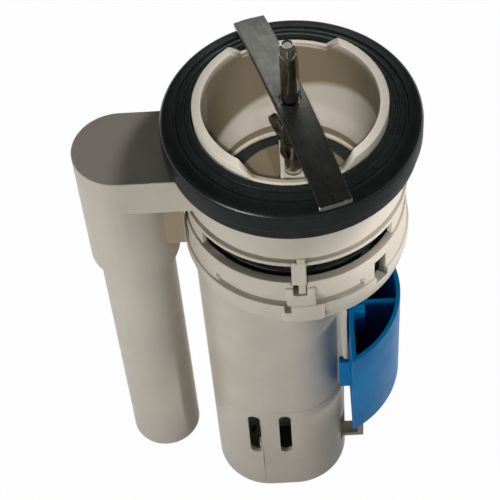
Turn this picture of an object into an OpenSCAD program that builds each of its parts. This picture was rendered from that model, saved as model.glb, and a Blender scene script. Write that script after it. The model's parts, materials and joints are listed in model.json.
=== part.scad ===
// Dual-flush cistern valve, standing on its push-pad end with the outlet upwards.
// Lengths are millimetres. The outlet axis is the Z axis and the end face of the cap is z = 0.

/* [Outlet] */
// Outside diameter of the outlet spigot
spigot_d = 64; // [60:0.5:68]
// Bore of the outlet spigot
outlet_bore_d = 58; // [55:0.5:59]
// Bore of the throat at the valve seat
throat_d = 53; // [48:0.5:54]
// Height of the low rim above the collar
spigot_h = 14.3; // [12:0.1:18]
// Height of the raised arcs above the low rim
arc_h = 4.7; // [3:0.1:6]
// Width of the gap between the raised arcs at its bottom
gap_w = 28.5; // [20:0.5:30]
// Extra half width of the gap at its top, which slopes the arc ends
gap_slope = 4; // [1:0.5:6]
// Turn of the gaps from front to back
gap_turn = 2.5; // [0:0.5:8]
// Width of the bridge across the throat
bridge_w = 9; // [8:0.5:14]
// Thickness of the bridge across the throat
bridge_t = 4; // [3:0.5:6]

/* [Collar and windows] */
// Outside diameter of the collar
collar_d = 76; // [74:0.5:82]
// Height of the collar
collar_h = 15.5; // [12:0.5:20]
// Wall thickness of the base moulding
base_wall = 2.5; // [2:0.1:3]
// Thickness of the plate on top of the collar
plate_t = 3; // [2:0.1:4]
// Height of the groove under the collar
groove_h = 1.7; // [1:0.1:3]
// Depth of the groove under the collar
groove_depth = 1.2; // [0.6:0.1:1.4]
// Thickness of the thin flange over the windows
flange_t = 1.8; // [1.2:0.1:3]
// How far the thin flange stands out past the collar
flange_out = 0.7; // [0.3:0.1:1.5]
// Height of the water windows
window_h = 9.4; // [8:0.1:12]
// Angle that each solid side wall between the windows takes up
side_wall_angle = 64; // [40:1:80]
// Angle of the narrow posts at the front and the back
post_angle = 7.5; // [6:0.5:10]
// Thickness of the seat lip
lip_t = 1.6; // [1.2:0.1:2]

/* [Overflow] */
// Distance of the overflow axis from the outlet axis
overflow_x = 57.8; // [56:0.1:64]
// Outside diameter of the overflow socket, which is also the width of the box
socket_d = 32; // [31:0.5:36]
// Length of the socket below the box
socket_len = 38; // [25:1:50]
// Outside diameter of the overflow tube
tube_d = 26.8; // [24:0.1:27]
// Wall thickness of the overflow tube
tube_wall = 1.8; // [1.5:0.1:2.5]
// Length of the overflow tube
tube_len = 140.5; // [100:0.5:150]
// Depth to which the tube is pushed into the socket
tube_insert = 23; // [18:1:30]
// Wire diameter of the overflow seal ring
o_ring_wire = 1.4; // [1:0.1:1.6]

/* [Canister] */
// Height of the bayonet ring on top of the canister
ring_h = 21.6; // [19:0.1:26]
// Outside diameter of the bayonet ring
ring_d = 77; // [76:0.5:84]
// Width of the canister across its round sides
body_w = 43; // [41:0.5:46]
// Length of the canister over its two round ends
body_len = 53; // [50:0.5:56]
// Distance of the canister's middle from the outlet axis, towards the overflow
body_offset = 10.5; // [9:0.5:12]
// Wall thickness of the canister and its cap
body_wall = 2.2; // [1.8:0.1:2.5]
// Height of the canister between the cap and the ring
body_h = 88; // [80:1:100]
// Thickness of the canister's floor and guide plates
floor_t = 2.4; // [2:0.1:3]
// Height of the ring's skirt below its lip
ring_skirt_h = 5; // [3:0.1:6]
// Height of the lip round the ring
ring_lip_h = 4.5; // [3:0.1:5]
// How far the ring's lip stands out
ring_lip_out = 1; // [0.5:0.1:1.5]
// Height of the grooves over the ring's lip
ring_groove_h = 3.8; // [2:0.1:4.5]
// Depth of the grooves over the ring's lip
ring_groove_depth = 1.4; // [0.8:0.1:1.8]
// How far the plates over the bayonet feet stand out
foot_plate_out = 0.8; // [0.5:0.1:0.9]

/* [Cap] */
// Height of the cap
cap_h = 58; // [54:1:66]
// Thickness of the cap's end plate
end_t = 3; // [2.5:0.1:4]
// Round on the edge of the cap's end
end_round = 3; // [1:0.5:4]
// Width of the slots in the cap
slot_w = 4.7; // [3:0.1:6]
// Length of the slots in the cap
slot_len = 27; // [20:0.5:28]
// Distance between the two slots
slot_pitch = 12.1; // [10:0.1:14]
// Height of the slots' lower ends above the end face
slot_z = 28; // [24:0.5:30]

/* [Gasket] */
// Outside diameter of the gasket
gasket_d = 86.4; // [80:0.2:92]
// Height of the gasket at its outer edge
gasket_h = 12; // [9:0.5:14]
// Height of the gasket's narrow lower step
gasket_step_h = 4.5; // [3:0.5:6]
// How far the lower step is set in
gasket_step_in = 1.7; // [1:0.1:3]

/* [Coupling hardware] */
// Diameter of the stud, an M6 thread
stud_d = 5.9; // [5.6:0.1:6]
// How far the stud stands above the raised arcs
stud_out = 25.7; // [15:0.1:40]
// Width across the corners of the stud's hexagon head
stud_head_d = 11; // [10:0.1:12]
// Height of the stud's hexagon head
stud_head_h = 4; // [3:0.1:5]
// Length of the bar
bar_len = 86; // [78:0.5:90]
// Width of the bar
bar_w = 11; // [9:0.1:14]
// Thickness of the bar
bar_t = 2; // [1.5:0.1:2.5]
// Rise of the bar's middle above its ends
bar_bow = 4; // [3:0.1:5]
// Angle of the bar in plan at rest
bar_angle = 107; // [90:1:108]
// Span of the wing nut over its wings
wing_span = 21; // [19:0.5:24]
// Thickness of the wing nut's wings
wing_t = 2.2; // [1.5:0.1:3]
// Height of the wing nut
wing_h = 11; // [10:0.5:14]
// Height of the wing nut's lower end above the bridge
nut_rise = 9; // [4:0.5:12]
// Angle of the wing nut's wings in plan at rest
wing_angle = 130; // [100:1:170]

/* [Plunger] */
// Diameter of the seal
seal_d = 68; // [62:0.5:69]
// Thickness of the seal
seal_t = 3; // [2:0.1:4]
// Diameter of the disc that backs the seal
backing_d = 60; // [56:0.5:64]
// Thickness of the disc that backs the seal
backing_t = 3.2; // [2.5:0.1:4]
// Diameter of the seal's retainer
retainer_d = 42; // [36:0.5:46]
// Thickness of the seal's retainer
retainer_t = 2.4; // [2:0.1:3]
// Diameter of the plunger's stem
stem_d = 10; // [9:0.1:10]
// Diameter of the flange that the levers press
lift_flange_d = 19.6; // [17:0.1:20]
// Diameter of the plunger's float
main_float_d = 25; // [20:0.5:26]
// Height of the plunger's float
main_float_h = 30; // [24:1:32]

/* [Small-flush float] */
// Radius of the float's round wall about the outlet axis
float_r = 37.5; // [35:0.5:39]
// Height of the float cup
float_h = 48; // [40:1:52]
// Height of the float's underside above the end face
float_z = 62; // [60:1:70]
// Wall thickness of the float
float_wall = 1.6; // [1.2:0.1:2.2]
// Travel of the float
float_travel = 12; // [8:1:12]
// Distance between the two guide rails
rail_pitch = 20; // [20:0.5:24]
// Width of the float's arm
arm_w = 6; // [5:0.5:7]
// Thickness of the float's arm
arm_t = 2.4; // [2:0.1:3]

/* [Push pads and levers] */
// Diameter of the full-flush pad
full_pad_d = 13; // [11:0.5:14]
// Diameter of the small-flush pad
half_pad_d = 8; // [7:0.5:9]
// Diameter of the full-flush pad's rod
full_rod_d = 6; // [5:0.1:6.4]
// Diameter of the small-flush pad's rod
half_rod_d = 5; // [4:0.1:5.2]
// Travel of both pads
pad_travel = 5; // [4:0.5:5]
// Height of the lever pivot above the end face
pivot_z = 30; // [30:0.5:34]
// Length of the lever arms on the pad side
pad_arm = 8; // [8:0.5:9]
// Length of the lever arms on the plunger side
lift_arm = 16; // [15.5:0.5:16]
// Thickness of the levers
lever_t = 4; // [3:0.1:4.5]
// Diameter of the lever pin
pin_d = 3; // [2.5:0.1:3.5]
// Wire diameter of the return springs
spring_wire = 0.9; // [0.6:0.1:1.1]
// Number of turns of the return springs
spring_turns = 5; // [4:1:7]

/* [Fits] */
// Radial running clearance of shafts in holes
run_clear = 0.06; // [0.03:0.01:0.1]
// Gap between pieces that pass each other
gap = 0.4; // [0.3:0.05:0.5]
// Gap between a lever and what it presses
press_gap = 0.6; // [0.4:0.1:0.8]
// Gap between the fork and the lift flange at rest
lift_gap = 1; // [0.9:0.1:1.2]

/* [Hidden] */
$fn = 96;

ivory = [0.86, 0.83, 0.76];
white = [0.93, 0.92, 0.88];
rubber = [0.08, 0.09, 0.09];
steel = [0.68, 0.68, 0.66];
blue = [0.1, 0.36, 0.7];
over = 0.1;
far = 200;

// Levels from the end face upwards
ring_z = cap_h + body_h;
ring_top = ring_z + ring_h;
flange_z = ring_top + window_h;
groove_z = flange_z + flange_t;
collar_z = groove_z + groove_h;
collar_top = collar_z + collar_h;
rim_low = collar_top + spigot_h;
rim_top = rim_low + arc_h;
seat_rise = 0.9;
seat_gap = 0.3;
seat_z = ring_top + seat_rise;
seal_top = seat_z - seat_gap;
seal_z = seal_top - seal_t;
backing_z = seal_z - backing_t;
retainer_top = seal_top + retainer_t;

// Radii of the base
collar_r = collar_d / 2;
collar_in_r = collar_r - base_wall;
spigot_r = spigot_d / 2;
bore_r = outlet_bore_d / 2;
throat_r = throat_d / 2;
throat_wall = 2.2;
cone_drop = 12;
throat_h = 5;
throat_relief = 0.8;
seat_lip_h = 1.8;
cone_top = collar_top - cone_drop;
cone_low = seat_z + throat_h;

// The retainer's screw, the stud's head and the bridge follow one another up the throat
screw_head_d = 8;
screw_head_h = 1.8;
screw_d = 3;
screw_len = 12;
screw_tip = 1;
screw_clear = 0.2;
screw_taper = 1.6;
head_z = retainer_top + screw_head_h + press_gap;
bridge_z = head_z + stud_head_h;
stud_r = stud_d / 2;
stud_top = rim_top + stud_out;

// Bayonet ring, the feet of the base and the slots that take them, with angles from the foot's middle
ring_r = ring_d / 2;
ring_in_r = collar_in_r;
lip_z = ring_z + ring_skirt_h;
lip_top = lip_z + ring_lip_h;
lip_r = ring_r + ring_lip_out;
feet = [90, 270];
foot_half = post_angle / 2;
foot_rise = 15.5;
shoulder_drop = 0.8;
foot_low = ring_z + foot_rise;
foot_shoulder = ring_top - shoulder_drop;
foot_hook_h = 2.5;
foot_hook_to = 6.5;
foot_from = -0.5;
foot_to = 3.2;
foot_clear = 0.3;
foot_clear_angle = 0.5;
foot_step = 0.15;
foot_in_r = collar_in_r + foot_clear;
foot_out = 0.2;
hook_skin = 1.4;
foot_r = collar_r + flange_out + foot_out;
hook_r = ring_r - hook_skin;
plate_rise = [6.4, 19];
plate_angles = [-7, 7.6];
plate_sink = 1;
tab_rise = 0.7;
tab_angles = [-9, 11.8];
pocket_rise = 5.6;
pocket_angles = [-7.8, -4.5];
pocket_depth = 1.6;
groove_angles = [[-47, -6.7], [7.9, 35.2]];
notch_angles = [42, 50.5];
notch_rise = [6.5, 17];
cut = 2;
window_lap = 0.2;

// Box and socket of the overflow
box_z = collar_z;
socket_r = socket_d / 2;
socket_z = box_z - socket_len;
tube_r = tube_d / 2;
tube_top = socket_z + tube_insert;
tube_z = tube_top - tube_len;
tube_fit = 0.15;
socket_bore_r = tube_r + tube_fit;
way_clear = 0.6;
overflow_way_r = tube_r - tube_wall + way_clear;
box_wall = 2.2;
duct_w = 20;
duct_rise = 0.8;
seal_groove_h = 2;
seal_groove_rise = 8;
seal_groove_z = socket_z + seal_groove_rise;
seal_groove_r = tube_r + o_ring_wire + tube_fit;
socket_round = 1.5;
o_ring_seat = 0.05;

// Canister and cap outlines
body_r = body_w / 2;
body_in_r = body_r - body_wall;
end_pitch = body_len - body_w;
body_right = body_len / 2 - body_offset;
cap_lap_h = 6;
cap_lap_t = 2;
cap_lap_gap = 0.2;
cap_lap_r = body_in_r - cap_lap_gap;
guide_rise = 32;
guide_z = cap_h + guide_rise;
guide_r = 8;
guide_rim_t = 1.6;
guide_rim_out = 2;
slot_x = -8.6;

// Small-flush float, its rails and its arm
rail_head_w = 5;
rail_head_t = 1.6;
rail_web = 2;
rail_out = 1;
rail_gap_low = 4;
rail_gap_high = 3;
rail_top_x = body_right + rail_out;
rail_low = cap_h + rail_gap_low;
rail_high = ring_z - rail_gap_high;
float_x = rail_top_x + press_gap;
channel_wall = 1.4;
channel_rise = 2;
channel_z = float_z + channel_rise;
channel_h = 17;
arm_set_in = 3.4;
arm_foot_rise = 12.5;
arm_x = float_x + arm_set_in;
arm_shift = 2;
arm_y = -arm_w / 2 - arm_shift;
arm_foot_z = end_t + arm_foot_rise;
arm_gap = 1;
clip_w = 3.2;
clip_depth = 4.5;
clip_h = 12;
clip_y = -9.5;
arm_reach = 9;
partition_y = -5;
partition_drop = 2;

// Plunger, lever and pad places, from the cap's side wall inwards
pivot_x = -lift_arm;
pad_x = pivot_x - pad_arm;
plunger_travel = pad_travel * lift_arm / pad_arm;
boss_len = 3.5;
boss_y = body_in_r - boss_len;
lever_side_gap = 1.6;
lever_gap = 0.7;
half_lever_w = 4;
half_lever_y = boss_y - lever_side_gap - half_lever_w;
fork_clear = 0.5;
fork_in = stem_d / 2 + fork_clear;
fork_out = half_lever_y - lever_gap;
fork_w = fork_out - fork_in;
fork_tip = 1;
hub_r = 3.5;
lever_end = 3;
full_lever_w = 6;
full_pad_y = -5;
half_rod_in = 0.8;
half_pad_y = half_lever_y + half_rod_in;
lever_low = pivot_z - lever_t / 2;
lift_flange_top = lever_low - lift_gap;
lift_flange_t = 3;
stem_tail = 2.4;
rod_top = lever_low - press_gap;
rod_nose_h = 3;
rod_nose_d = 2.4;
pad_recess = 0.6;
pad_flange_gap = 0.3;
pad_flange_z = end_t + pad_flange_gap;
pad_flange_t = 1.5;
pad_flange_out = 0.6;
spring_room = 12;
shelf_z = end_t + spring_room + pad_travel;
shelf_t = 2;
shelf_clear = 2;
spring_clear = 0.4;
spring_seat = 0.1;
pin_end_gap = 0.5;
stem_collar_t = 2;
stem_collar_r = 7;
stem_collar_gap = 2;
main_float_z = guide_z + floor_t + guide_rim_t + plunger_travel + stem_collar_gap + stem_collar_t;
seal_boss_r = 5.5;
seal_boss_gap = 0.3;

// Outline with two round ends, about the canister's middle
module stadium(r) {
    translate([-body_offset, 0]) {
        for (side = [-1, 1])
            translate([side * end_pitch / 2, 0]) circle(r);
        square([end_pitch, 2 * r], center = true);
    }
}

// Half section of a drum with a rounded bottom edge
module round_foot_section(r, h, edge) {
    translate([0, edge]) square([r, h - edge]);
    square([r - edge, h]);
    translate([r - edge, edge]) circle(edge, $fn = 48);
}

// Solid with the canister's outline and a rounded bottom edge
module round_foot_stadium(r, h, edge) {
    translate([-body_offset, 0, 0]) {
        for (side = [-1, 1])
            translate([side * end_pitch / 2, 0, 0])
                rotate_extrude() round_foot_section(r, h, edge);
        translate([-end_pitch / 2, 0, 0]) rotate([90, 0, 90]) linear_extrude(end_pitch) {
            round_foot_section(r, h, edge);
            mirror([1, 0]) round_foot_section(r, h, edge);
        }
    }
}

// Part of a ring between two angles
module arc_wall(r_in, r_out, z_low, z_high, from, to) {
    rotate([0, 0, from])
        rotate_extrude(angle = to - from)
            translate([r_in, z_low]) square([r_out - r_in, z_high - z_low]);
}

module tube(r_out, r_in, z_low, z_high) {
    translate([0, 0, z_low]) difference() {
        cylinder(r = r_out, h = z_high - z_low);
        translate([0, 0, -over]) cylinder(r = r_in, h = z_high - z_low + 2 * over);
    }
}

// Base: spigot, throat, collar, windows, bayonet feet and overflow box
module base_section() {
    polygon([
        [bore_r, rim_top], [bore_r, cone_top], [throat_r + throat_relief, cone_low],
        [throat_r + throat_relief, seat_z + seat_lip_h], [throat_r, seat_z + seat_lip_h], [throat_r, seat_z],
        [throat_r + lip_t, seat_z], [throat_r + throat_wall, cone_low],
        [bore_r + throat_wall, cone_top], [bore_r + throat_wall, collar_top - plate_t],
        [collar_in_r, collar_top - plate_t], [collar_in_r, flange_z],
        [collar_r + flange_out, flange_z], [collar_r + flange_out, groove_z],
        [collar_r - groove_depth, groove_z], [collar_r - groove_depth, collar_z],
        [collar_r, collar_z], [collar_r, collar_top], [spigot_r, collar_top], [spigot_r, rim_top]]);
}

module arc_gaps() {
    low = gap_w / 2;
    high = low + gap_slope;
    rotate([0, 0, gap_turn]) translate([0, far / 2, rim_low]) rotate([90, 0, 0]) linear_extrude(far)
        polygon([[-low, 0], [low, 0], [high, arc_h + over], [-high, arc_h + over]]);
}

// Feet that cross the groove and the flange and hook into the ring, and the walls between the windows
module bayonet_feet() {
    wall_half = side_wall_angle / 2;
    root = flange_z + flange_t / 2;
    for (a = feet) {
        arc_wall(foot_in_r, foot_r, foot_shoulder, groove_z, a - foot_half, a + foot_half);
        arc_wall(foot_in_r + foot_step, foot_r - foot_step, foot_low, collar_z + foot_step,
            a + foot_from, a + foot_to);
        arc_wall(foot_in_r + 2 * foot_step, hook_r, foot_low + foot_step, foot_low + foot_hook_h,
            a, a + foot_hook_to);
    }
    for (a = [0, 180])
        arc_wall(foot_in_r, collar_r - 2 * foot_step, ring_top + window_lap, root,
            a - wall_half, a + wall_half);
}

module overflow_box() {
    web_t = 3;
    web_y = 9;
    web_drop = 24;
    web_lap = 1;
    web_from = -overflow_x + sqrt(pow(socket_r, 2) - pow(web_y, 2)) - web_lap;
    web_to = -sqrt(pow(ring_r + gap, 2) - pow(web_y - web_t / 2, 2));
    difference() {
        translate([0, 0, box_z]) linear_extrude(collar_h) {
            translate([-overflow_x, 0]) circle(socket_r);
            translate([-overflow_x, -socket_r]) square([overflow_x - collar_in_r + base_wall, 2 * socket_r]);
        }
        cylinder(r = collar_in_r, h = far * 2);
    }
    translate([-overflow_x, 0, socket_z]) {
        translate([0, 0, socket_round]) cylinder(r = socket_r, h = socket_len - socket_round + over);
        cylinder(r1 = socket_r - socket_round, r2 = socket_r, h = socket_round);
    }
    translate([web_from, -web_y - web_t / 2, box_z - web_drop])
        cube([web_to - web_from, web_t, web_drop + over]);
}

module overflow_ways() {
    translate([-overflow_x, 0, 0]) {
        translate([0, 0, socket_z - over]) cylinder(r = socket_bore_r, h = tube_insert + over);
        translate([0, 0, seal_groove_z]) cylinder(r = seal_groove_r, h = seal_groove_h);
        translate([0, 0, tube_top - over])
            cylinder(r = overflow_way_r, h = collar_top - box_wall - tube_top + over);
    }
    translate([-overflow_x, -duct_w / 2, cone_top + duct_rise])
        cube([overflow_x - throat_r, duct_w, collar_top - plate_t - cone_top - 2 * duct_rise]);
}

module throat_bridge() {
    intersection() {
        translate([-bridge_w / 2, -bore_r, bridge_z]) cube([bridge_w, 2 * bore_r, bridge_t]);
        translate([0, 0, bridge_z]) cylinder(r = throat_r + throat_wall, h = bridge_t);
    }
}

module outlet_base() color(ivory) difference() {
    union() {
        rotate_extrude() base_section();
        bayonet_feet();
        overflow_box();
        throat_bridge();
    }
    arc_gaps();
    overflow_ways();
    translate([0, 0, bridge_z - over]) cylinder(r = stud_r + run_clear, h = bridge_t + 2 * over);
}

// Rubber doughnut between the tank and the bowl, with two channels in its crowned top
module tank_gasket() color(rubber) {
    clear = 0.3;
    crown = 1.6;
    shoulder = 1.2;
    step_slope = 0.6;
    channel_w = 0.8;
    channel_depth = 0.6;
    channel_shares = [0.37, 0.68];
    r = gasket_d / 2;
    low_r = r - gasket_step_in;
    in_r = spigot_r + clear;
    top = collar_top + gasket_h;
    step_z = collar_top + gasket_step_h;
    rotate_extrude() difference() {
        polygon([
            [in_r, collar_top], [low_r, collar_top], [low_r, step_z], [r, step_z + step_slope],
            [r, top - shoulder], [r - shoulder, top], [in_r, top + crown]]);
        for (share = channel_shares)
            translate([r - share * (r - in_r) - channel_w / 2, top + share * crown - channel_depth])
                square([channel_w, 2 * channel_depth]);
    }
}

module overflow_tube() color(ivory)
    translate([-overflow_x, 0, 0]) tube(tube_r, tube_r - tube_wall, tube_z, tube_top);

module overflow_seal_ring() color(rubber)
    translate([-overflow_x, 0, seal_groove_z + seal_groove_h / 2]) rotate_extrude()
        translate([tube_r + o_ring_wire / 2 + o_ring_seat, 0]) circle(o_ring_wire / 2, $fn = 32);

// Canister: bayonet ring, body, guide plate and float rails
module ring_slots() {
    low = foot_low - foot_clear;
    wide = foot_half + foot_clear_angle;
    for (a = feet) {
        arc_wall(ring_in_r - cut, ring_r + cut, foot_shoulder - foot_clear, ring_top + over,
            a - wide, a + wide);
        arc_wall(ring_in_r - cut - foot_step, ring_r + cut + foot_step, low, ring_top,
            a - foot_half + foot_clear_angle, a + foot_to + foot_clear_angle);
        arc_wall(ring_in_r - cut - 2 * foot_step, hook_r + foot_clear, low + foot_step,
            foot_low + foot_hook_h + foot_clear, a, a + foot_hook_to + foot_clear_angle);
        arc_wall(ring_r - pocket_depth, ring_r + cut + 2 * foot_step, ring_z + pocket_rise, lip_top,
            a + pocket_angles[0], a + pocket_angles[1]);
        arc_wall(ring_in_r - cut - 3 * foot_step, ring_r + cut + 3 * foot_step, ring_z + notch_rise[0],
            ring_z + notch_rise[1], a + notch_angles[0], a + notch_angles[1]);
        for (g = groove_angles)
            arc_wall(ring_r - ring_groove_depth, ring_r + cut + 4 * foot_step, lip_top + foot_step,
                lip_top + foot_step + ring_groove_h, a + g[0], a + g[1]);
    }
}

module bayonet_ring() {
    difference() {
        union() {
            rotate_extrude() polygon([
                [ring_in_r, ring_z], [ring_r, ring_z], [ring_r, lip_z], [lip_r, lip_z], [lip_r, lip_top],
                [ring_r, lip_top], [ring_r, ring_top], [ring_in_r, ring_top]]);
            for (a = feet) {
                arc_wall(ring_r - plate_sink, ring_r + foot_plate_out, ring_z + plate_rise[0],
                    ring_z + plate_rise[1], a + plate_angles[0], a + plate_angles[1]);
                arc_wall(ring_r - plate_sink - foot_step, lip_r + foot_step, ring_z + tab_rise,
                    lip_top - foot_step, a + tab_angles[0], a + tab_angles[1]);
            }
        }
        ring_slots();
    }
}

module float_rail() {
    translate([body_right - body_r / 2, -rail_web / 2, rail_low])
        cube([rail_top_x - body_right + body_r / 2, rail_web, rail_high - rail_low]);
    translate([rail_top_x - rail_head_t, -rail_head_w / 2, rail_low])
        cube([rail_head_t, rail_head_w, rail_high - rail_low]);
}

module guide_plate() {
    vent_r = 4;
    side_vent_r = 5;
    difference() {
        translate([0, 0, guide_z]) linear_extrude(floor_t) stadium(body_in_r + over);
        translate([0, 0, guide_z - over]) cylinder(r = guide_r, h = floor_t + 2 * over);
        for (y = [-1, 1])
            translate([-body_offset - end_pitch, y * body_in_r / 2, guide_z - over])
                cylinder(r = side_vent_r, h = floor_t + 2 * over);
        translate([-body_offset - end_pitch - 2 * vent_r, 0, guide_z - over])
            cylinder(r = vent_r, h = floor_t + 2 * over);
    }
}

module canister() color(ivory) {
    bayonet_ring();
    difference() {
        union() {
            translate([0, 0, cap_h]) linear_extrude(body_h + floor_t) stadium(body_r);
            translate([0, 0, ring_z]) cylinder(r = ring_in_r + over, h = floor_t);
            for (y = [-1, 1])
                translate([0, y * rail_pitch / 2, 0]) float_rail();
        }
        translate([0, 0, cap_h - over]) linear_extrude(body_h + floor_t + 2 * over) stadium(body_in_r);
    }
    guide_plate();
}

// Bush that guides the plunger's stem
module stem_guide() color(white) {
    bore = stem_d / 2 + run_clear;
    tube(guide_r - run_clear, bore, guide_z, guide_z + floor_t);
    tube(guide_r + guide_rim_out, bore, guide_z + floor_t, guide_z + floor_t + guide_rim_t);
}

// Cap with the push pads, the spring shelf, the lever bosses and the slots
module slot(x, side) {
    low = slot_z + slot_w / 2;
    high = slot_z + slot_len - slot_w / 2;
    translate([x, side * (body_r + body_in_r) / 2, 0]) rotate([90, 0, 0])
        translate([0, 0, -body_r / 2]) linear_extrude(body_r) {
            translate([0, low]) circle(slot_w / 2);
            translate([0, high]) circle(slot_w / 2);
            translate([-slot_w / 2, low]) square([slot_w, high - low]);
        }
}

module cap_shell() {
    difference() {
        round_foot_stadium(body_r, cap_h, end_round);
        translate([0, 0, end_t]) linear_extrude(cap_h - end_t + over) stadium(body_in_r);
        for (x = [slot_x - slot_pitch, slot_x], side = [-1, 1])
            slot(x, side);
        translate([0, arm_y - arm_w / 2 - arm_gap, arm_foot_z - arm_gap])
            cube([body_r, arm_w + 2 * arm_gap, float_travel + arm_t + 2 * arm_gap]);
    }
}

// Lap that plugs into the canister, on a shelf inside the cap
module cap_lap() {
    low = cap_h - cap_lap_t;
    difference() {
        union() {
            translate([0, 0, low]) linear_extrude(cap_lap_t) stadium(body_in_r + over);
            translate([0, 0, low]) linear_extrude(cap_lap_t + cap_lap_h) stadium(cap_lap_r);
        }
        translate([0, 0, low - over])
            linear_extrude(cap_lap_t + cap_lap_h + 2 * over) stadium(cap_lap_r - cap_lap_t);
    }
}

module spring_shelf() {
    translate([0, 0, shelf_z]) intersection() {
        linear_extrude(shelf_t) stadium(body_in_r + over);
        translate([-far, -far / 2, 0]) cube([far - lift_flange_d / 2 - shelf_clear, far, shelf_t]);
    }
}

module canister_cap() color(ivory) difference() {
    union() {
        cap_shell();
        cap_lap();
        spring_shelf();
        for (side = [-1, 1])
            translate([pivot_x, side * (boss_y + boss_len / 2 + over), pivot_z]) rotate([90, 0, 0])
                cylinder(r = hub_r, h = boss_len + 2 * over, center = true);
    }
    translate([pivot_x, 0, pivot_z]) rotate([90, 0, 0])
        cylinder(d = pin_d + 2 * run_clear, h = 2 * body_in_r - press_gap, center = true);
    translate([pad_x, full_pad_y, -over]) cylinder(d = full_pad_d + 2 * gap, h = end_t + 2 * over);
    translate([pad_x, half_pad_y, -over]) cylinder(d = half_pad_d + 2 * gap, h = end_t + 2 * over);
    translate([pad_x, full_pad_y, shelf_z - over])
        cylinder(d = full_rod_d + 2 * run_clear, h = shelf_t + 2 * over);
    translate([pad_x, half_pad_y, shelf_z - over])
        cylinder(d = half_rod_d + 2 * run_clear, h = shelf_t + 2 * over);
}

// Stud with its head under the bridge
module coupling_stud() color(steel) {
    point = 0.8;
    translate([0, 0, head_z]) cylinder(d = stud_head_d, h = stud_head_h, $fn = 6);
    translate([0, 0, bridge_z]) cylinder(r = stud_r, h = stud_top - bridge_z - point);
    translate([0, 0, stud_top - point]) cylinder(r1 = stud_r, r2 = stud_r - point, h = point);
}

// Bowed bar across the outlet, with rounded corners
bar_rise = 1;
bar_corner = 0.5;
bar_top = rim_top + bar_rise;
bar_bend_r = (bar_len * bar_len / 4 + bar_bow * bar_bow) / (2 * bar_bow);
module bar_plan() {
    square([bar_len - 2 * bar_corner, bar_w], center = true);
    square([bar_len, bar_w - 2 * bar_corner], center = true);
    for (x = [-1, 1], y = [-1, 1])
        translate([x * (bar_len / 2 - bar_corner), y * (bar_w / 2 - bar_corner)])
            circle(bar_corner, $fn = 48);
}

module coupling_bar() color(steel) rotate([0, 0, bar_angle]) difference() {
    intersection() {
        translate([0, bar_w, bar_top - bar_bend_r]) rotate([90, 0, 0])
            linear_extrude(2 * bar_w) difference() {
                circle(bar_bend_r, $fn = 360);
                circle(bar_bend_r - bar_t, $fn = 360);
            }
        translate([0, 0, bar_top - 3 * bar_bow]) linear_extrude(4 * bar_bow) bar_plan();
    }
    cylinder(r = stud_r + gap, h = 2 * far);
}

// Wing nut on the stud, with its wings towards the bar
module wing_nut() color(steel) {
    hub_wall = 1.3;
    hub_taper = 0.4;
    hub_h = 6;
    tip_r = 2.2;
    root_low = 0.6;
    tip_turn = -40;
    root_in = stud_r + hub_wall / 2;
    tip_x = wing_span / 2 - tip_r;
    tip_y = wing_h - tip_r;
    low = bridge_z + bridge_t + nut_rise;
    translate([0, 0, low]) difference() {
        union() {
            cylinder(r1 = stud_r + hub_wall, r2 = stud_r + hub_wall - hub_taper, h = hub_h);
            rotate([90, 0, wing_angle]) linear_extrude(wing_t, center = true)
                for (side = [0, 1]) mirror([side, 0]) {
                    polygon([[root_in, root_low], [stud_r + hub_wall, root_low],
                        [tip_x + tip_r * cos(tip_turn), tip_y + tip_r * sin(tip_turn)],
                        [tip_x - tip_r * cos(tip_turn), tip_y - tip_r * sin(tip_turn)],
                        [root_in, hub_h - root_low]]);
                    translate([tip_x, tip_y]) circle(tip_r, $fn = 48);
                }
        }
        translate([0, 0, -over]) cylinder(r = stud_r + run_clear, h = hub_h + 2 * over);
    }
}

// Plunger: stem, lift flange and the disc that backs the seal
module plunger() color(white) {
    cone_r = 12;
    cone_h = 8;
    difference() {
        union() {
            translate([0, 0, backing_z]) cylinder(d = backing_d, h = backing_t);
            translate([0, 0, seal_z - over]) cylinder(r = seal_boss_r, h = seal_t + over);
            translate([0, 0, lift_flange_top - lift_flange_t - stem_tail])
                cylinder(d = stem_d, h = backing_z - lift_flange_top + lift_flange_t + stem_tail + over);
            translate([0, 0, lift_flange_top - lift_flange_t]) cylinder(d = lift_flange_d, h = lift_flange_t);
            translate([0, 0, main_float_z - stem_collar_t]) cylinder(r = stem_collar_r, h = stem_collar_t);
            translate([0, 0, backing_z - cone_h]) cylinder(r1 = stem_d / 2, r2 = cone_r, h = cone_h + over);
        }
        translate([0, 0, seal_top - screw_len]) cylinder(d = screw_d + screw_clear, h = screw_len + over);
    }
}

module valve_seal() color(rubber)
    tube(seal_d / 2, seal_boss_r + seal_boss_gap, seal_z, seal_top);

module seal_retainer() color(ivory)
    tube(retainer_d / 2, screw_d / 2 + screw_clear, seal_top, retainer_top);

module retainer_screw() color(steel) {
    translate([0, 0, seal_top - screw_len + screw_tip])
        cylinder(d = screw_d, h = screw_len - screw_tip + retainer_t + over);
    translate([0, 0, retainer_top])
        cylinder(d1 = screw_head_d, d2 = screw_head_d - screw_taper, h = screw_head_h);
}

// Hollow float on the plunger's stem
module main_float() color(white) {
    r = main_float_d / 2;
    stem_clear = 0.3;
    skin = 1.2;
    collar_lap = 1;
    in_r = stem_d / 2 + stem_clear;
    translate([0, 0, main_float_z]) rotate_extrude() difference() {
        translate([in_r, 0]) square([r - in_r, main_float_h]);
        translate([in_r + skin, -over]) square([r - in_r - 2 * skin, main_float_h - skin + over]);
    }
    tube(stem_collar_r + collar_lap, in_r, main_float_z, main_float_z + skin);
}

// Blue cup that ends the small flush
module segment(r, x) {
    intersection() {
        circle(r);
        translate([x, -far / 2]) square([far, far]);
    }
}

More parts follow.
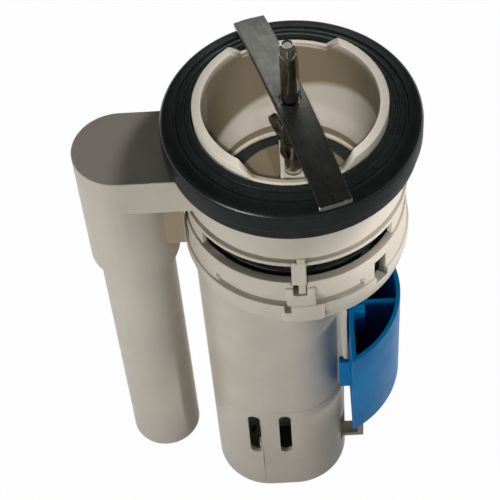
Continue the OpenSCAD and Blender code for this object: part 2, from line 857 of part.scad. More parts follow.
module float_channel(side) {
    in_half = rail_head_w / 2 + gap;
    back = rail_top_x - rail_head_t - gap;
    translate([back, side * (in_half + channel_wall / 2) - channel_wall / 2, channel_z])
        cube([float_x - back + over, channel_wall, channel_h]);
    translate([back - channel_wall, side > 0 ? rail_web / 2 + gap : -in_half - channel_wall, channel_z])
        cube([channel_wall + over, in_half + channel_wall - rail_web / 2 - gap, channel_h]);
}

module small_flush_float() color(blue) {
    in_r = float_r - float_wall;
    in_x = float_x + float_wall;
    difference() {
        translate([0, 0, float_z]) linear_extrude(float_h) segment(float_r, float_x);
        translate([0, 0, float_z + float_wall]) linear_extrude(float_h) segment(in_r, in_x);
    }
    intersection() {
        translate([0, 0, float_z]) linear_extrude(float_h - partition_drop) segment(in_r + over, in_x - over);
        translate([float_x, partition_y - float_wall / 2, float_z]) cube([float_r, float_wall, float_h]);
    }
    translate([in_x - over, clip_y - clip_w / 2, float_z + float_h - clip_h])
        cube([clip_depth + over, clip_w, clip_h]);
    for (y = [-1, 1])
        translate([0, y * rail_pitch / 2, 0]) float_channel(y);
}

// White arm that carries the float's movement into the cap
module float_arm() color(white) {
    translate([arm_x, arm_y - arm_w / 2, arm_foot_z]) cube([arm_t, arm_w, float_z - arm_foot_z]);
    translate([arm_x - arm_reach, arm_y - arm_w / 2, arm_foot_z]) cube([arm_reach + over, arm_w, arm_t]);
}

// Push pads with their rods
module push_pad(y, pad_d, rod_d) {
    translate([pad_x, y, pad_recess]) cylinder(d = pad_d, h = pad_flange_z - pad_recess + over);
    translate([pad_x, y, pad_flange_z]) cylinder(d = pad_d + 2 * gap + 2 * pad_flange_out, h = pad_flange_t);
    translate([pad_x, y, pad_flange_z]) cylinder(d = rod_d, h = rod_top - rod_nose_h - pad_flange_z);
    translate([pad_x, y, rod_top - rod_nose_h]) cylinder(d1 = rod_d, d2 = rod_nose_d, h = rod_nose_h);
}

module full_flush_pad() color(white) push_pad(full_pad_y, full_pad_d, full_rod_d);

module half_flush_pad() color(blue) push_pad(half_pad_y, half_pad_d, half_rod_d);

// Levers that turn a push into a lift of the plunger
module lever_hub(y_low, y_high) {
    translate([pivot_x, y_high, pivot_z]) rotate([90, 0, 0]) cylinder(r = hub_r, h = y_high - y_low);
}

module lever_bore() {
    translate([pivot_x, 0, pivot_z]) rotate([90, 0, 0])
        cylinder(d = pin_d + 2 * run_clear, h = far, center = true);
}

module full_lift_lever() color(white) difference() {
    union() {
        translate([0, 0, lever_low]) linear_extrude(lever_t) {
            translate([pad_x - lever_end, full_pad_y - full_lever_w / 2])
                square([pad_arm + lever_end, full_lever_w]);
            translate([pivot_x, -fork_out]) square([pad_arm, 2 * fork_out]);
            for (side = [-1, 1])
                translate([pivot_x, side * (fork_in + fork_w / 2) - fork_w / 2])
                    square([lift_arm + fork_tip, fork_w]);
        }
        lever_hub(-fork_out, fork_out);
    }
    lever_bore();
}

module half_lift_lever() color(blue) difference() {
    union() {
        translate([pad_x - lever_end, half_lever_y, lever_low])
            cube([lever_end + pad_arm + lift_arm + fork_tip, half_lever_w, lever_t]);
        lever_hub(half_lever_y, half_lever_y + half_lever_w);
    }
    lever_bore();
}

module lever_pin() color(steel) translate([pivot_x, 0, pivot_z]) rotate([90, 0, 0])
    cylinder(d = pin_d, h = 2 * (body_in_r - pin_end_gap), center = true);

// Coil spring swept along its helix
module coil(mean_r, z_low, z_high) {
    sides = 8;
    per_turn = 16;
    rings = spring_turns * per_turn;
    w = spring_wire / 2;
    rise = (z_high - z_low - spring_wire) / rings;
    points = [for (i = [0 : rings], k = [0 : sides - 1])
        let (a = 360 * i / per_turn, t = 360 * k / sides, r = mean_r + w * cos(t))
            [r * cos(a), r * sin(a), z_low + w + i * rise + w * sin(t)]];
    walls = [for (i = [0 : rings - 1], k = [0 : sides - 1])
        let (n = (k + 1) % sides)
            [i * sides + k, i * sides + n, (i + 1) * sides + n, (i + 1) * sides + k]];
    polyhedron(points, concat(walls, [[for (k = [sides - 1 : -1 : 0]) k]],
        [[for (k = [0 : sides - 1]) rings * sides + k]]));
}

module return_spring(y, rod_d) {
    mean_r = rod_d / 2 + spring_clear + spring_wire / 2;
    low = pad_flange_z + pad_flange_t + spring_seat;
    translate([pad_x, y, 0]) coil(mean_r, low, shelf_z - spring_seat);
}

module full_return_spring() color(steel) return_spring(full_pad_y, full_rod_d);

module half_return_spring() color(steel) return_spring(half_pad_y, half_rod_d);

outlet_base();
tank_gasket();
overflow_tube();
overflow_seal_ring();
canister();
canister_cap();
coupling_stud();
coupling_bar();
wing_nut();
plunger();
valve_seal();
seal_retainer();
retainer_screw();
main_float();
stem_guide();
small_flush_float();
float_arm();
full_flush_pad();
half_flush_pad();
full_lift_lever();
half_lift_lever();
lever_pin();
full_return_spring();
half_return_spring();
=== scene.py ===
"""Looks of a dual-flush cistern valve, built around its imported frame. Metres, in the frame's own axes."""
import json
import math

import bmesh
import bpy
from mathutils import Euler, Matrix, Vector


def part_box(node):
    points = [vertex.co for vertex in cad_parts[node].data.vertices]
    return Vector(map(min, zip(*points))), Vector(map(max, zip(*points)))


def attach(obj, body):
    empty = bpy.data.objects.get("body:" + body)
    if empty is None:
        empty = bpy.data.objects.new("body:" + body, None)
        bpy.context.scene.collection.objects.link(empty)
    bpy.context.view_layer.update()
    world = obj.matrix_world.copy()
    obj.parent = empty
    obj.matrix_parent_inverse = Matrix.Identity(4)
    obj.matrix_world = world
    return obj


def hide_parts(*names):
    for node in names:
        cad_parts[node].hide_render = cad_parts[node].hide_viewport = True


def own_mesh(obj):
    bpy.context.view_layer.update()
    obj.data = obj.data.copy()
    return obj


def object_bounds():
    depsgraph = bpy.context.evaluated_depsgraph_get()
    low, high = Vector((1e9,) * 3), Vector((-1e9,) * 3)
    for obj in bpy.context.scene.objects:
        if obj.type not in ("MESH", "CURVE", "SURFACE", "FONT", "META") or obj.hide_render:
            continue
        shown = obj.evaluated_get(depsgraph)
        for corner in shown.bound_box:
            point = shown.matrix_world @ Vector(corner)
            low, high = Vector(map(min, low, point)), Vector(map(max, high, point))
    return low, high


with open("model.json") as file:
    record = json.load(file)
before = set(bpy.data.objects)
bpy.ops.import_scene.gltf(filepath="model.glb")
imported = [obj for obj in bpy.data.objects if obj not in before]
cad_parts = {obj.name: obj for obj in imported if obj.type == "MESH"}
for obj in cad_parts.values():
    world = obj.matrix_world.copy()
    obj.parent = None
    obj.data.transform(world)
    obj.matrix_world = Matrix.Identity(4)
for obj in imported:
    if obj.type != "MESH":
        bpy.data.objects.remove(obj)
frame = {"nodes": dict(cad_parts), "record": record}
CAD_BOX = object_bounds()
MM = 0.001
NODE_BODY = {node: body for body, nodes in frame["record"]["behaviour"]["bodies"].items() for node in nodes}

# Camera of the photograph, in a frame of 500 by 500 pixels. Its turn is in degrees about X, Y and Z
FRAME_PIXELS = 500
FOCAL_PIXELS = 1611.2
SENSOR = 36.0
CAMERA_PLACE = (0.0, -351.9 * MM, 599.9 * MM)
CAMERA_TURN = (37.128, 3.149, -1.352)

# Rounds on the edges of the pieces
EDGE_ROUND = 0.35 * MM
FINE_ROUND = 0.2 * MM
BAR_ROUND = 0.45 * MM

# Edges sharper than this are rounded where the faces beside them are this many rounds wide
SHARP_EDGE = math.radians(28)
ROOM_FOR_ROUND = 2.2

# Edges sharper than this stay crisp in the shading
CRISP_EDGE = math.radians(42)

# Faces this near to one plane are joined, and so are points this near to each other
SAME_PLANE = math.radians(0.5)
SAME_POINT = 0.001 * MM

# Direction of the bar's length at rest, about the vertical axis
BAR_TURN = math.radians(107)

# Colours, as sRGB bytes
IVORY = (192, 184, 171)
# Tan used as painted shade on the outlet's bore wall and throat band
SHADE_TAN = (124, 113, 92)
# Darker ivory, a painted shade for the retainer disc deep in the outlet
DISC_SHADE = (106, 95, 78)
# Darker ivory, a painted shade for the web under the overflow box
WEB_SHADE = (142, 129, 107)
# Darker ivory, a painted shade for the float arm
ARM_SHADE = (126, 121, 110)
# White plastic toned down to grey, partly a painted shade
WHITE_SHADED = (150, 146, 135)
BLUE = (0, 112, 170)
RUBBER = (27, 32, 31)
BRIGHT = (205, 203, 197)
BAR = (150, 150, 144)
CUT = (92, 92, 88)
SPRING = (150, 148, 142)
FLOOR = (96, 96, 96)

# Outlet zone that the black gasket and the overflow duct back, where the thin wall gets a painted shade in
# tan
BACKED_SHADE_LOW = 190.0 * MM
BACKED_SHADE_TILT = 0.3
BACKED_SHADE_HIGH = 213.0 * MM
BACKED_SHADE_BLUR = 1.5 * MM
BACKED_SHADE_RADIUS = 30.4 * MM
BACKED_SHADE_EDGE = 0.2 * MM

# Relieved band of the throat above the seat lip, which lies in the lip's shade; that shade is painted on in
# tan
LIP_SHADE_LOW = 170.3 * MM
LIP_SHADE_HIGH = 173.5 * MM
LIP_SHADE_BLUR = 0.15 * MM

# Box round the web between the overflow socket and the ring, along X, Y and Z; its front and bottom faces
# get a painted shade
WEB_BOX = ((-48 * MM, -36 * MM), (-10.7 * MM, -7.3 * MM), (150 * MM, 181 * MM))


def linear(srgb):
    """Colour of the shader sockets from sRGB bytes."""
    def channel(byte):
        c = byte / 255
        return c / 12.92 if c <= 0.04045 else ((c + 0.055) / 1.055) ** 2.4
    return tuple(channel(b) for b in srgb) + (1.0,)


def shade(srgb, factor):
    """A lighter or darker tone of a colour."""
    return tuple(min(255, b * factor) for b in srgb)


class Shader:
    """A node material with a Principled surface and short calls for its texture nodes."""

    def __init__(self, name, colour, metallic=0.0):
        self.material = bpy.data.materials.new(name)
        self.material.use_nodes = True
        self.tree = self.material.node_tree
        self.surface = self.tree.nodes["Principled BSDF"]
        self.surface.inputs["Base Color"].default_value = linear(colour)
        self.surface.inputs["Metallic"].default_value = metallic
        self.place = self.add("ShaderNodeTexCoord").outputs["Object"]

    def add(self, kind, **values):
        """A new node with its settings."""
        node = self.tree.nodes.new(kind)
        for key, value in values.items():
            setattr(node, key, value)
        return node

    def link(self, source, target):
        """Joins an output to an input."""
        self.tree.links.new(source, target)

    def turned(self, angle):
        """Object coordinates turned about the vertical axis."""
        node = self.add("ShaderNodeVectorRotate", rotation_type="Z_AXIS")
        node.inputs["Angle"].default_value = angle
        self.link(self.place, node.inputs["Vector"])
        return node.outputs["Vector"]

    def stretched(self, scale, vector=None):
        """Coordinates scaled along each axis, for streaks."""
        mapping = self.add("ShaderNodeMapping")
        mapping.inputs["Scale"].default_value = scale
        self.link(vector or self.place, mapping.inputs["Vector"])
        return mapping.outputs["Vector"]

    def noise(self, per_metre, detail=3.0, vector=None, rough=0.5):
        """Soft noise with so many waves to the metre."""
        node = self.add("ShaderNodeTexNoise")
        node.inputs["Scale"].default_value = per_metre
        node.inputs["Detail"].default_value = detail
        node.inputs["Roughness"].default_value = rough
        self.link(vector or self.place, node.inputs["Vector"])
        return node.outputs["Fac"]

    def spread(self, value, low, high, from_low=0.3, from_high=0.7):
        """A value moved from one range to another, and held within it."""
        node = self.add("ShaderNodeMapRange")
        node.inputs["From Min"].default_value = from_low
        node.inputs["From Max"].default_value = from_high
        node.inputs["To Min"].default_value = low
        node.inputs["To Max"].default_value = high
        self.link(value, node.inputs["Value"])
        return node.outputs["Result"]

    def times(self, first, second):
        """Product of two values."""
        node = self.add("ShaderNodeMath", operation="MULTIPLY")
        self.link(first, node.inputs[0])
        self.link(second, node.inputs[1])
        return node.outputs[0]

    def between(self, low_value, low, high_value, high, blur):
        """Is 1 where one value is above its low mark and another below its high mark."""
        above = self.spread(low_value, 0.0, 1.0, low - blur, low + blur)
        below = self.spread(high_value, 1.0, 0.0, high - blur, high + blur)
        return self.times(above, below)

    def radius_and_level(self, tilt):
        """Distance from the outlet axis, height, and height above a plane that rises with X."""
        parts = self.add("ShaderNodeSeparateXYZ")
        self.link(self.place, parts.inputs[0])
        flat = self.add("ShaderNodeCombineXYZ")
        self.link(parts.outputs["X"], flat.inputs["X"])
        self.link(parts.outputs["Y"], flat.inputs["Y"])
        length = self.add("ShaderNodeVectorMath", operation="LENGTH")
        self.link(flat.outputs[0], length.inputs[0])
        rise = self.add("ShaderNodeMath", operation="MULTIPLY_ADD")
        self.link(parts.outputs["X"], rise.inputs[0])
        rise.inputs[1].default_value = -tilt
        self.link(parts.outputs["Z"], rise.inputs[2])
        return length.outputs["Value"], parts.outputs["Z"], rise.outputs[0]

    def mix(self, fac, first, second):
        """Blend of two colours, each given as sRGB bytes or as another node's output."""
        node = self.add("ShaderNodeMix", data_type="RGBA")
        self.link(fac, node.inputs["Factor"])
        for socket, colour in ((node.inputs["A"], first), (node.inputs["B"], second)):
            if isinstance(colour, tuple):
                socket.default_value = linear(colour)
            else:
                self.link(colour, socket)
        return node.outputs["Result"]

    def bump(self, height, strength, distance, onto=None):
        """Surface normal with small relief, on top of another relief where one is given."""
        node = self.add("ShaderNodeBump")
        node.inputs["Strength"].default_value = strength
        node.inputs["Distance"].default_value = distance
        self.link(height, node.inputs["Height"])
        if onto:
            self.link(onto, node.inputs["Normal"])
        return node.outputs["Normal"]

    def edges(self, low=0.52, high=0.6):
        """Grows from 0 to 1 on outer edges, for wear."""
        geometry = self.add("ShaderNodeNewGeometry")
        return self.spread(geometry.outputs["Pointiness"], 0.0, 1.0, low, high)

    def set(self, **inputs):
        """Sets the surface's inputs to numbers or to other nodes' outputs, and gives the material."""
        for name, value in inputs.items():
            socket = self.surface.inputs[name.replace("_", " ")]
            if isinstance(value, (int, float, tuple)):
                socket.default_value = value
            else:
                self.link(value, socket)
        return self.material


def moulded_plastic(name, colour, rough=(0.32, 0.44), mottle=0.03, gloss=0.2, painted_shade=None):
    """Injection-moulded plastic: faint mottling, flow marks, a fine grain and pale worn edges, and painted
    shade on the outlet's bore wall and throat band where a shade colour is given.
    """
    flow_shade, worn_shade = 0.955, 1.07
    s = Shader(name, colour)
    cloudy = s.mix(s.spread(s.noise(55, 4), 0.0, 1.0), shade(colour, 1 - mottle), shade(colour, 1 + mottle))
    flow = s.noise(28, 3, s.stretched((1.0, 1.0, 0.18)))
    toned = s.mix(s.spread(flow, 0.0, 0.35, 0.5, 0.75), cloudy, shade(colour, flow_shade))
    # Painted shade: the bore wall that the gasket and duct back, and the throat band above the seat lip,
    # take the shade colour
    if painted_shade:
        radius, level, tilted = s.radius_and_level(BACKED_SHADE_TILT)
        inside = s.spread(radius, 1.0, 0.0, BACKED_SHADE_RADIUS, BACKED_SHADE_RADIUS + BACKED_SHADE_EDGE)
        wall_shade = s.between(tilted, BACKED_SHADE_LOW, level, BACKED_SHADE_HIGH, BACKED_SHADE_BLUR)
        lip_shade = s.between(level, LIP_SHADE_LOW, level, LIP_SHADE_HIGH, LIP_SHADE_BLUR)
        for zone in (wall_shade, lip_shade):
            toned = s.mix(s.times(inside, zone), toned, painted_shade)
    worn = s.mix(s.edges(), toned, shade(colour, worn_shade))
    grain = s.bump(s.noise(2600, 2), 0.08, 0.1 * MM)
    waves = s.bump(s.noise(70, 2), 0.04, 1.0 * MM, grain)
    return s.set(Base_Color=worn, Roughness=s.spread(s.noise(120, 4), *rough), Normal=waves,
                 Specular_IOR_Level=gloss)


def black_rubber(name, colour, rough=(0.34, 0.46), gloss=0.06):
    """Moulded rubber: a fine grain, grey bloom in patches and dust on its edges."""
    bloom_shade, dust_shade, worn_shade = 1.6, 2.2, 1.9
    s = Shader(name, colour)
    patches = s.spread(s.noise(90, 5, rough=0.65), 0.0, 0.6, 0.5, 0.8)
    specks = s.spread(s.noise(1500, 2), 0.0, 0.5, 0.66, 0.8)
    bloom = s.mix(patches, colour, shade(colour, bloom_shade))
    dusty = s.mix(specks, bloom, shade(colour, dust_shade))
    worn = s.mix(s.edges(0.53, 0.64), dusty, shade(colour, worn_shade))
    grain = s.bump(s.noise(1900, 3), 0.1, 0.12 * MM)
    return s.set(Base_Color=worn, Roughness=s.spread(s.noise(160, 4), *rough), Normal=grain,
                 Specular_IOR_Level=gloss)


def drawn_steel(name, colour, rough, turn=0.0, brush=(25.0, 900.0, 900.0), depth=0.05):
    """Plated steel with drawing lines along one axis, small pits and bright edges."""
    dark_line, bright_line, pit_shade, edge_shade = 0.92, 1.06, 0.62, 1.3
    s = Shader(name, colour, metallic=1.0)
    lines = s.noise(1.0, 4, s.stretched(brush, s.turned(turn)), rough=0.6)
    pits = s.spread(s.noise(1300, 3), 0.0, 0.7, 0.62, 0.76)
    toned = s.mix(s.spread(lines, 0.0, 1.0), shade(colour, dark_line), shade(colour, bright_line))
    pitted = s.mix(pits, toned, shade(colour, pit_shade))
    bright = s.mix(s.edges(0.54, 0.66), pitted, shade(colour, edge_shade))
    marks = s.bump(lines, depth, 0.05 * MM)
    return s.set(Base_Color=bright, Roughness=s.spread(s.noise(240, 4), *rough), Normal=marks)


MATERIALS = {
    "ivory_plastic": moulded_plastic("ivory_plastic_look", IVORY),
    "white_plastic": moulded_plastic("white_plastic_look", WHITE_SHADED, rough=(0.28, 0.4)),
    "blue_plastic": moulded_plastic("blue_plastic_look", BLUE, rough=(0.34, 0.46), mottle=0.06, gloss=0.08),
    "black_rubber": black_rubber("black_rubber_look", RUBBER),
    "bright_steel": drawn_steel("bright_steel_look", BRIGHT, (0.1, 0.2), brush=(700.0, 700.0, 40.0)),
    "bar_steel": drawn_steel("bar_steel_look", BAR, (0.24, 0.36), turn=-BAR_TURN, depth=0.1),
    "spring_steel": drawn_steel("spring_steel_look", SPRING, (0.18, 0.3), brush=(500.0, 500.0, 500.0)),
}
OUTLET_SHADED_LOOK = moulded_plastic("outlet_painted_shade_look", IVORY, painted_shade=SHADE_TAN)
WEB_SHADE_LOOK = moulded_plastic("web_painted_shade_look", WEB_SHADE)
DISC_SHADE_LOOK = moulded_plastic("disc_painted_shade_look", DISC_SHADE)
ARM_SHADE_LOOK = moulded_plastic("arm_painted_shade_look", ARM_SHADE)
POLISHED_RUBBER = black_rubber("polished_rubber_look", RUBBER, rough=(0.22, 0.32), gloss=0.32)
CUT_STEEL = drawn_steel("cut_steel_look", CUT, (0.4, 0.55), brush=(300.0, 300.0, 900.0))


def put(name, bm, node, slot, look=None):
    """Puts a finished mesh in the scene in place of a CAD node."""
    mesh = bpy.data.meshes.new(name)
    bmesh.ops.recalc_face_normals(bm, faces=bm.faces)
    bm.to_mesh(mesh)
    bm.free()
    mesh.materials.append(look or MATERIALS[slot])
    mesh.shade_smooth()
    mesh.set_sharp_from_angle(angle=CRISP_EDGE)
    piece = bpy.data.objects.new(name, mesh)
    bpy.context.scene.collection.objects.link(piece)
    weighted = piece.modifiers.new("flat_faces", "WEIGHTED_NORMAL")
    weighted.keep_sharp = True
    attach(piece, NODE_BODY[node])
    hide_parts(node)
    return piece


def second_look(piece, look, chosen):
    """Gives the chosen faces another finish."""
    piece.data.materials.append(look)
    for face in piece.data.polygons:
        if chosen(face):
            face.material_index = 1


def softened(node, slot, width=EDGE_ROUND, look=None):
    """A copy of a CAD node's mesh with its planes joined and its sharp edges rounded."""
    bm = bmesh.new()
    bm.from_mesh(frame["nodes"][node].data)
    bmesh.ops.remove_doubles(bm, verts=bm.verts, dist=SAME_POINT)
    bmesh.ops.dissolve_limit(bm, angle_limit=SAME_PLANE, verts=bm.verts, edges=bm.edges)

    def roomy(edge):
        length = max(edge.calc_length(), SAME_POINT)
        return all(face.calc_area() / length > ROOM_FOR_ROUND * width for face in edge.link_faces)
    sharp = [e for e in bm.edges if e.is_manifold and e.calc_face_angle(0.0) > SHARP_EDGE and roomy(e)]
    bmesh.ops.connect_verts_concave(bm, faces=[f for f in bm.faces if len(f.verts) > 4])
    bmesh.ops.bevel(bm, geom=sharp, offset=width, offset_type="OFFSET", segments=2, profile=0.5,
                    affect="EDGES", clamp_overlap=False, loop_slide=True)
    return put(node + "_dressed", bm, node, slot, look)


def rounded(corners, steps=4):
    """Closed outline with an arc at each corner. A corner is (r, z, radius)."""
    nearly_straight = math.radians(88)
    points = []
    for index, (r, z, radius) in enumerate(corners):
        here = Vector((r, z))
        before = (Vector(corners[index - 1][:2]) - here).normalized()
        after = (Vector(corners[(index + 1) % len(corners)][:2]) - here).normalized()
        half = before.angle(after) / 2
        if radius <= 0 or half > nearly_straight:
            points.append(here)
            continue
        middle = here + (before + after).normalized() * radius / math.sin(half)
        start = here + before * radius / math.tan(half) - middle
        sweep = start.angle_signed(here + after * radius / math.tan(half) - middle)
        for step in range(steps + 1):
            turn = Matrix.Rotation(-sweep * step / steps, 2)
            points.append(middle + turn @ start)
    return points


def skin(bm, rings):
    """Faces between each ring of points and the next."""
    for first, second in zip(rings, rings[1:]):
        for index in range(len(first)):
            after = (index + 1) % len(first)
            bm.faces.new((first[index], first[after], second[after], second[index]))


def lathe(outline, sides=144):
    """Closed mesh of a closed outline of (r, z) points turned about the outlet axis."""
    bm = bmesh.new()
    rings = []
    for side in range(sides):
        out = Vector((math.cos(math.tau * side / sides), math.sin(math.tau * side / sides), 0.0))
        rings.append([bm.verts.new(out * r + Vector((0.0, 0.0, z))) for r, z in outline])
    skin(bm, rings + rings[:1])
    return bm


def stacked(rows, sides=72):
    """Closed mesh of rings piled up on the outlet axis. A row is a height and a radius for each angle."""
    bm = bmesh.new()
    angles = [math.tau * side / sides for side in range(sides)]
    rings = []
    for z, radius in rows:
        rings.append([bm.verts.new((radius(a) * math.cos(a), radius(a) * math.sin(a), z)) for a in angles])
    skin(bm, rings)
    bm.faces.new(rings[0])
    bm.faces.new(rings[-1])
    return bm


def outlet_base():
    """Outlet moulding with painted shade on its bore wall and throat, and a painted shade on its web."""
    flat = 0.95

    def on_web(face):
        inside = all(low <= value <= high for value, (low, high) in zip(face.center, WEB_BOX))
        return inside and (abs(face.normal.y) > flat or face.normal.z < -flat)
    piece = softened("outlet_base", "ivory_plastic", look=OUTLET_SHADED_LOOK)
    second_look(piece, WEB_SHADE_LOOK, on_web)


def coupling_bar():
    """Steel bar with darker cut ends."""
    facing = 0.9
    along = Vector((math.cos(BAR_TURN), math.sin(BAR_TURN), 0.0))
    piece = softened("coupling_bar", "bar_steel", BAR_ROUND)
    second_look(piece, CUT_STEEL, lambda face: abs(face.normal.dot(along)) > facing)


def tank_gasket():
    """Rubber doughnut with rounded lips, a polished sloping top and two soft grooves in it."""
    low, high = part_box("tank_gasket")
    outer = (high.x - low.x) / 2
    inner = 32.3 * MM
    step_in, step_top, step_slope = 1.0 * MM, low.z + 4.5 * MM, 0.6 * MM
    top, top_rise = high.z - 0.4 * MM, 2.8 * MM
    shoulder, shoulder_rise = 2.6 * MM, 0.1 * MM
    soft, lip, foot = 0.3 * MM, 0.6 * MM, 0.8 * MM
    lands = 4
    land = (outer - inner - shoulder) / lands
    groove_places = (1.0, 2.4)
    groove_depth, groove_wall, groove_floor = 0.55 * MM, 0.1 * land, 0.45 * land
    upward = 0.2
    corners = [(inner, low.z, soft), (outer - step_in, low.z, foot), (outer - step_in, step_top, soft),
               (outer, step_top + step_slope, lip), (outer, top + shoulder_rise, shoulder)]
    for place in groove_places:
        edge = outer - shoulder - place * land
        level = top + top_rise * place / lands
        corners += [(edge, level, soft), (edge - groove_wall, level - groove_depth, soft),
                    (edge - groove_floor, level - groove_depth, soft),
                    (edge - groove_floor - groove_wall, level, soft)]
    corners.append((inner, top + top_rise, lip))
    piece = put("tank_gasket_dressed", lathe(rounded(corners)), "tank_gasket", "black_rubber")
    second_look(piece, POLISHED_RUBBER, lambda face: face.normal.z > upward)


def coupling_stud():
    """Plated stud: hexagon head, fine thread for the nut, slimmer shank, neck ring and hollow end."""
    low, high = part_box("coupling_stud")
    corner, radius = (high.x - low.x) / 2, 2.95 * MM
    shank, tip, neck_cut = 2.7 * MM, 2.45 * MM, 0.15 * MM
    head_top = low.z + 4 * MM
    chamfer, fillet = 0.5 * MM, 0.3 * MM
    pitch, depth, rows_per_turn = 1.0 * MM, 0.3 * MM, 8
    thread_low, thread_high, runout = head_top + 5 * MM, head_top + 34 * MM, 2 * MM
    neck = high.z - 4.2 * MM
    neck_taper, neck_width = 0.4 * MM, 0.6 * MM
    end_chamfer, end_depth = 0.7 * MM, 0.15 * MM
    face_in, rim_in, hollow_in, floor_in = 0.5 * MM, 0.6 * MM, 1.1 * MM, 1.3 * MM
    sixth = math.pi / 3

    def hexagon(inset):
        return lambda a: (corner - inset) * math.cos(sixth / 2) / math.cos(a % sixth - sixth / 2)

    def plain(r):
        return lambda a: r

    def threaded(z):
        fade = max(0.0, min(1.0, (z - thread_low) / runout, (thread_high - z) / runout))

        def at(a):
            phase = (z / pitch - a / math.tau) % 1.0
            return radius - depth * fade * (1 - abs(2 * phase - 1))
        return at

    rows = [(low.z, hexagon(chamfer)), (low.z + chamfer, hexagon(0.0)),
            (head_top - chamfer, hexagon(0.0)), (head_top, hexagon(chamfer)),
            (head_top, plain(radius + fillet)), (head_top + fillet, plain(radius))]
    count = round((thread_high - thread_low) / pitch * rows_per_turn)
    for index in range(count + 1):
        z = thread_low + (thread_high - thread_low) * index / count
        rows.append((z, threaded(z)))
    rows += [(neck - neck_width - neck_taper, plain(shank)), (neck - neck_width, plain(tip - neck_cut)),
             (neck, plain(tip - neck_cut)), (neck + neck_cut, plain(tip)),
             (high.z - end_chamfer, plain(tip)), (high.z - end_depth, plain(tip - face_in)),
             (high.z, plain(tip - rim_in)), (high.z, plain(tip - hollow_in)),
             (high.z - end_depth, plain(tip - floor_in))]
    put("coupling_stud_dressed", stacked(rows), "coupling_stud", "bright_steel")


def return_spring(node):
    """Coil spring between its shelf and the pad's flange."""
    low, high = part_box(node)
    wire = 0.45 * MM
    turns, per_turn, sides = 5, 48, 14
    mean = (high.x - low.x) / 2 - wire
    middle = (low + high) / 2
    bottom, top = low.z + wire, high.z - wire
    up = Vector((0.0, 0.0, 1.0))
    angles = [math.tau * side / sides for side in range(sides)]
    bm = bmesh.new()
    rings = []
    for step in range(turns * per_turn + 1):
        a = math.tau * step / per_turn
        z = bottom + (top - bottom) * step / (turns * per_turn)
        out = Vector((math.cos(a), math.sin(a), 0.0))
        centre = Vector((middle.x, middle.y, z)) + out * mean
        section = [wire * (out * math.cos(t) + up * math.sin(t)) for t in angles]
        rings.append([bm.verts.new(centre + point) for point in section])
    skin(bm, rings)
    bm.faces.new(rings[0])
    bm.faces.new(rings[-1])
    piece = put(node + "_dressed", bm, node, "spring_steel")
    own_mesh(piece)


def set_camera():
    """Camera at the photograph's place and angle."""
    data = bpy.data.cameras.new("photo_camera")
    data.sensor_fit = "HORIZONTAL"
    data.sensor_width = SENSOR
    data.lens = FOCAL_PIXELS * SENSOR / FRAME_PIXELS
    data.clip_start = 10 * MM
    camera = bpy.data.objects.new("photo_camera", data)
    camera.location = CAMERA_PLACE
    camera.rotation_euler = Euler([math.radians(angle) for angle in CAMERA_TURN])
    bpy.context.scene.collection.objects.link(camera)
    bpy.context.scene.camera = camera


def aim(name, data, place, target, mirrored):
    """Puts a lamp in the scene and points it. Glossy surfaces show it only if it is mirrored."""
    lamp = bpy.data.objects.new(name, data)
    lamp.location = place
    lamp.rotation_euler = (Vector(target) - Vector(place)).to_track_quat("-Z", "Y").to_euler()
    lamp.visible_glossy = mirrored
    bpy.context.scene.collection.objects.link(lamp)


def soft_box(name, place, target, size, power, spread=180, mirrored=False):
    """Wide lamp. Its spread is in degrees."""
    data = bpy.data.lights.new(name, "AREA")
    data.shape = "RECTANGLE"
    data.size, data.size_y = size
    data.energy = power
    data.spread = math.radians(spread)
    aim(name, data, place, target, mirrored)


def beam(name, place, target, angle, power):
    """Narrow lamp with soft edges. Its angle is in degrees."""
    data = bpy.data.lights.new(name, "SPOT")
    data.energy = power
    data.spot_size = math.radians(angle)
    data.spot_blend = 0.25
    data.shadow_soft_size = 10 * MM
    aim(name, data, place, target, mirrored=False)


def set_floor():
    """White floor that keeps the object's shadow."""
    half, gap, whiteness = 3.0, 0.1 * MM, 0.985
    corners = [(-half, -half, 0), (half, -half, 0), (half, half, 0), (-half, half, 0)]
    mesh = bpy.data.meshes.new("floor")
    mesh.from_pydata(corners, [], [(0, 1, 2, 3)])
    floor = bpy.data.objects.new("floor", mesh)
    floor.location.z = CAD_BOX[0].z - gap
    bpy.context.scene.collection.objects.link(floor)
    s = Shader("floor_paper", FLOOR)
    s.set(Roughness=0.9, Specular_IOR_Level=0.0)
    rays = s.add("ShaderNodeLightPath")
    seen = rays.outputs["Is Camera Ray"]
    for kind in ("Is Glossy Ray", "Is Transmission Ray"):
        either = s.add("ShaderNodeMath", operation="MAXIMUM")
        s.link(seen, either.inputs[0])
        s.link(rays.outputs[kind], either.inputs[1])
        seen = either.outputs[0]
    share = s.add("ShaderNodeMath", operation="MULTIPLY")
    share.inputs[1].default_value = whiteness
    s.link(seen, share.inputs[0])
    glow = s.add("ShaderNodeEmission")
    glow.inputs["Strength"].default_value = 1.0
    blend = s.add("ShaderNodeMixShader")
    s.link(share.outputs[0], blend.inputs["Fac"])
    s.link(s.surface.outputs[0], blend.inputs[1])
    s.link(glow.outputs[0], blend.inputs[2])
    s.link(blend.outputs[0], s.tree.nodes["Material Output"].inputs["Surface"])
    mesh.materials.append(s.material)


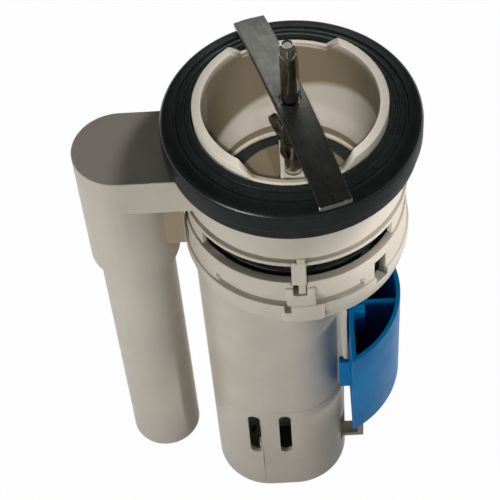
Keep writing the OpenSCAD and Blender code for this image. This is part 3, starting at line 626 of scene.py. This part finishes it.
def set_world():
    """Pale walls that fade into a darker ceiling."""
    wall, ceiling = 0.09, 0.03
    fade_low, fade_high = 0.55, 0.85
    world = bpy.data.worlds.new("studio")
    world.use_nodes = True
    tree = world.node_tree
    background = tree.nodes["Background"]
    direction = tree.nodes.new("ShaderNodeTexCoord").outputs["Generated"]
    parts = tree.nodes.new("ShaderNodeSeparateXYZ")
    tree.links.new(direction, parts.inputs[0])
    fade = tree.nodes.new("ShaderNodeMapRange")
    fade.interpolation_type = "SMOOTHSTEP"
    fade.inputs["From Min"].default_value = fade_low
    fade.inputs["From Max"].default_value = fade_high
    fade.inputs["To Min"].default_value = wall
    fade.inputs["To Max"].default_value = ceiling
    tree.links.new(parts.outputs["Z"], fade.inputs["Value"])
    background.inputs["Color"].default_value = (1, 1, 1, 1)
    tree.links.new(fade.outputs[0], background.inputs["Strength"])
    bpy.context.scene.world = world


def set_lamps():
    """Low wide lamp at the front left, weaker ones at the back and right, and beams for single places."""
    body = (0.0, 0.0, 0.12)
    right_stand = (0.6, -0.25, 0.32)
    soft_box("front_light", place=(-0.55, -0.65, 0.18), target=(0.0, 0.0, 0.14), size=(0.6, 0.16),
             power=0.475, spread=44, mirrored=True)
    soft_box("back_card", place=(0.0, 1.25, 1.12), target=(0.0, 0.0, 0.21), size=(0.8, 0.6),
             power=1.1, mirrored=True)
    soft_box("back_right_light", place=(0.64, 0.58, 0.75), target=body, size=(0.2, 0.2), power=3.5)
    soft_box("back_light", place=(0.1, 0.85, 0.15), target=body, size=(0.9, 0.25), power=0.66, spread=50)
    soft_box("fill_light", place=(0.45, -0.75, 0.3), target=(0.0, 0.0, 0.17), size=(0.3, 0.2),
             power=0.055, spread=40)
    beam("right_light", place=right_stand, target=(0.034, -0.016, 0.174), angle=5.6, power=19)
    beam("float_light", place=right_stand, target=(0.034, -0.016, 0.088), angle=5.2, power=7)
    beam("outlet_light", place=(-0.012, -0.66, 0.955), target=(0.0, 0.01, 0.2), angle=3.6, power=46)
    beam("mouth_light", place=(0.0, -0.12, 1.1), target=(0.0, 0.0, 0.205), angle=4.9, power=10)


# Pieces that keep their CAD shape with rounded edges, by finish and round
SOFTENED = (
    ("ivory_plastic", EDGE_ROUND, ("canister", "canister_cap", "overflow_tube")),
    ("blue_plastic", EDGE_ROUND, ("small_flush_float",)),
    ("white_plastic", EDGE_ROUND, ("plunger",)),
    ("white_plastic", FINE_ROUND, ("main_float", "stem_guide", "full_flush_pad", "full_lift_lever")),
    ("blue_plastic", FINE_ROUND, ("half_flush_pad", "half_lift_lever")),
    ("bright_steel", FINE_ROUND, ("wing_nut", "retainer_screw", "lever_pin")),
)

bpy.context.scene.view_settings.view_transform = "Standard"
set_camera()
set_floor()
set_world()
set_lamps()

outlet_base()
coupling_bar()
for finish, width, nodes in SOFTENED:
    for node in nodes:
        softened(node, finish, width)
softened("valve_seal", "black_rubber", look=POLISHED_RUBBER)
# The retainer disc takes a painted shade
softened("seal_retainer", "ivory_plastic", look=DISC_SHADE_LOOK)
# The float arm takes a painted shade
softened("float_arm", "white_plastic", look=ARM_SHADE_LOOK)
tank_gasket()
coupling_stud()
return_spring("full_return_spring")
return_spring("half_return_spring")
frame["nodes"]["overflow_seal_ring"].data.materials[0] = MATERIALS["black_rubber"]
